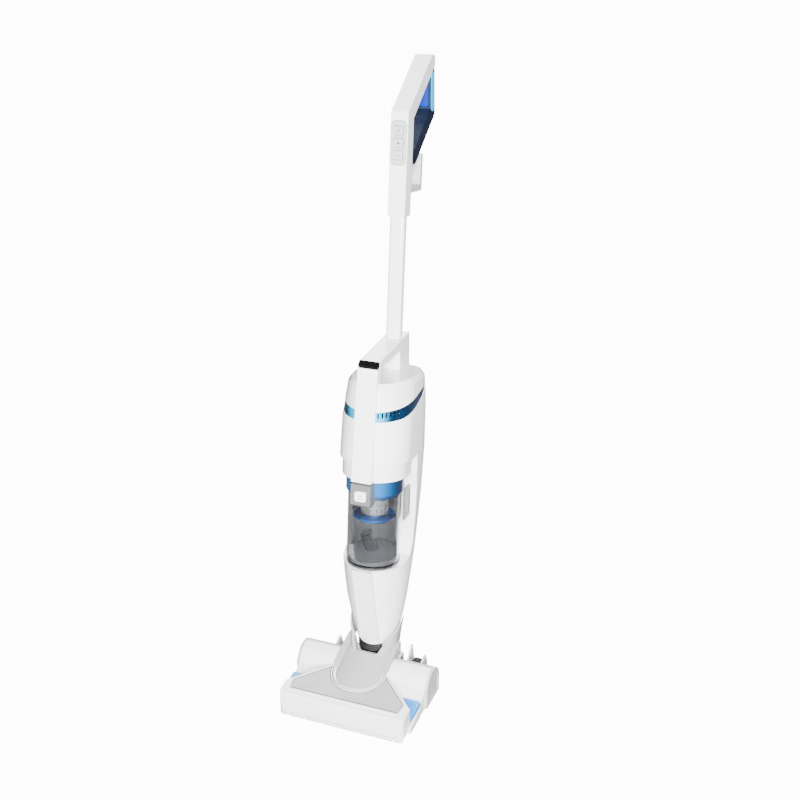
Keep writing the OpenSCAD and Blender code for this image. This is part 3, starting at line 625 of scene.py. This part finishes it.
def rounded_path(width, height, radius, steps=8):
    """A flat rounded rectangle about the origin."""
    path = []
    for quarter, (sx, sy) in enumerate(CORNERS):
        middle = Vector((sx * (width / 2 - radius), sy * (height / 2 - radius), 0))
        for step in range(steps + 1):
            turn = (quarter + step / steps) * pi / 2
            path.append(middle + radius * Vector((cos(turn), sin(turn), 0)))
    return path


def plate_seams():
    """Fine dark joint lines round the control plate and round each key."""
    front = body_box("control_plate")[0].y
    clearance = 0.55 * MM
    facing = Matrix.Rotation(pi / 2, 4, "X")
    mesh = bmesh.new()
    rings = [("control_plate", 8.5 * MM)]
    rings += [(key, 3.5 * MM) for key in ("key_upper", "key_middle", "key_lower")]
    for node, radius in rings:
        low, high = body_box(node)
        width, height = high.x - low.x + 2 * clearance, high.z - low.z + 2 * clearance
        spot = Matrix.Translation(((low.x + high.x) / 2, front, (low.z + high.z) / 2)) @ facing
        add_bead(mesh, rounded_path(width, height, radius), 0.3 * MM, 6, place=spot)
    piece_from("plate_seams", mesh, LINE, "upright", BODY)


def latch_mark():
    """A short raised bar under a chevron on the tank's latch."""
    low, high = body_box("latch_button")
    middle = (low + high) / 2
    spot = BODY @ Matrix.Translation((middle.x, low.y, middle.z)) @ Matrix.Rotation(pi / 2, 4, "X")
    half, stroke, rise = 4 * MM, 1.3 * MM, 3.6 * MM
    bar = [(-half, -4 * MM), (half, -4 * MM), (half, -3 * MM), (-half, -3 * MM)]
    chevron = [(-half, 0.0), (0.0, rise), (half, 0.0), (half, -stroke), (0.0, rise - stroke),
               (-half, -stroke)]
    mesh = bmesh.new()
    for outline in (bar, chevron):
        add_prism(mesh, outline, MARK_FOOT, 0.2 * MM, spot)
    piece_from("latch_mark", mesh, LINE, "latch")


panel_rims()
panel_seams()
bristles()
tyre("tyre_left", "wheel_left", "wheel_l")
tyre("tyre_right", "wheel_right", "wheel_r")
neck_bellows()
painted_shade_water()
lid_hoops()
rear_screws()
key_marks()
plate_seams()
latch_mark()

# ---- floor, lights, camera ----


def studio_floor():
    """A wide pale floor that looks white to the camera and throws little light on the object."""
    mesh = bmesh.new()
    bmesh.ops.create_grid(mesh, x_segments=8, y_segments=8, size=40.0)
    data = bpy.data.meshes.new("floor")
    mesh.to_mesh(data)
    mesh.free()
    floor = bpy.data.objects.new("floor", data)
    bpy.context.scene.collection.objects.link(floor)
    graph = Graph("floor_paint")
    pale = graph.mix(graph.noise(3.0), rgb((0.12, 0.12, 0.12)), rgb((0.14, 0.14, 0.14)))
    graph.feed("Base Color", pale)
    graph.fix("Roughness", 0.9)
    graph.fix("Emission Color", rgb((1.0, 1.0, 1.0)))
    seen = graph.tree.nodes.new("ShaderNodeLightPath").outputs["Is Camera Ray"]
    graph.feed("Emission Strength", graph.maths("MULTIPLY", seen, BACKDROP_GLOW))
    data.materials.append(graph.material)


def seen_from(aim, azimuth, elevation, distance):
    """A point at a distance from the aim. Azimuth 0 is the front, in degrees."""
    a, e = radians(azimuth), radians(elevation)
    return aim + distance * Vector((sin(a) * cos(e), -cos(a) * cos(e), sin(e)))


def face(thing, aim):
    """Turns a lamp or camera towards the aim."""
    thing.rotation_euler = (aim - thing.location).to_track_quat("-Z", "Y").to_euler()


def softbox(name, aim, azimuth, elevation, distance, size, power):
    """An area light that faces the object from a given direction."""
    data = bpy.data.lights.new(name, "AREA")
    data.shape = "RECTANGLE"
    data.size, data.size_y = size
    data.energy = power
    lamp = bpy.data.objects.new(name, data)
    lamp.location = seen_from(aim, azimuth, elevation, distance)
    face(lamp, aim)
    bpy.context.scene.collection.objects.link(lamp)


def world_light(strength):
    """Weak light from all round, behind a backdrop that looks white to the camera."""
    world = bpy.data.worlds.new("studio")
    bpy.context.scene.world = world
    world.use_nodes = True
    tree = world.node_tree
    backdrop = tree.nodes["Background"]
    backdrop.inputs["Color"].default_value = rgb((1.0, 1.0, 1.0))
    glow = tree.nodes.new("ShaderNodeMath")
    glow.operation = "MULTIPLY_ADD"
    tree.links.new(tree.nodes.new("ShaderNodeLightPath").outputs["Is Camera Ray"], glow.inputs[0])
    glow.inputs[1].default_value = BACKDROP_GLOW
    glow.inputs[2].default_value = strength
    tree.links.new(glow.outputs[0], backdrop.inputs["Strength"])


def camera(aim, azimuth, elevation, distance, lens):
    """The photo's viewpoint."""
    data = bpy.data.cameras.new("camera")
    data.lens = lens
    data.sensor_width = 36.0
    data.clip_end = 200.0
    made = bpy.data.objects.new("camera", data)
    made.location = seen_from(aim, azimuth, elevation, distance)
    face(made, aim)
    bpy.context.scene.collection.objects.link(made)
    bpy.context.scene.camera = made


low, high = Vector(cad_bounds[0]), Vector(cad_bounds[1])
middle = (low + high) / 2
studio_floor()
world_light(WORLD_STRENGTH)
softbox("key", middle, azimuth=24, elevation=22, distance=2.6, size=(0.5, 1.8), power=560)
softbox("fill", middle, azimuth=200, elevation=35, distance=2.6, size=(1.6, 1.6), power=90)
camera(middle + VIEW_OFFSET, azimuth=20.97, elevation=22.81, distance=1.972, lens=50.58)
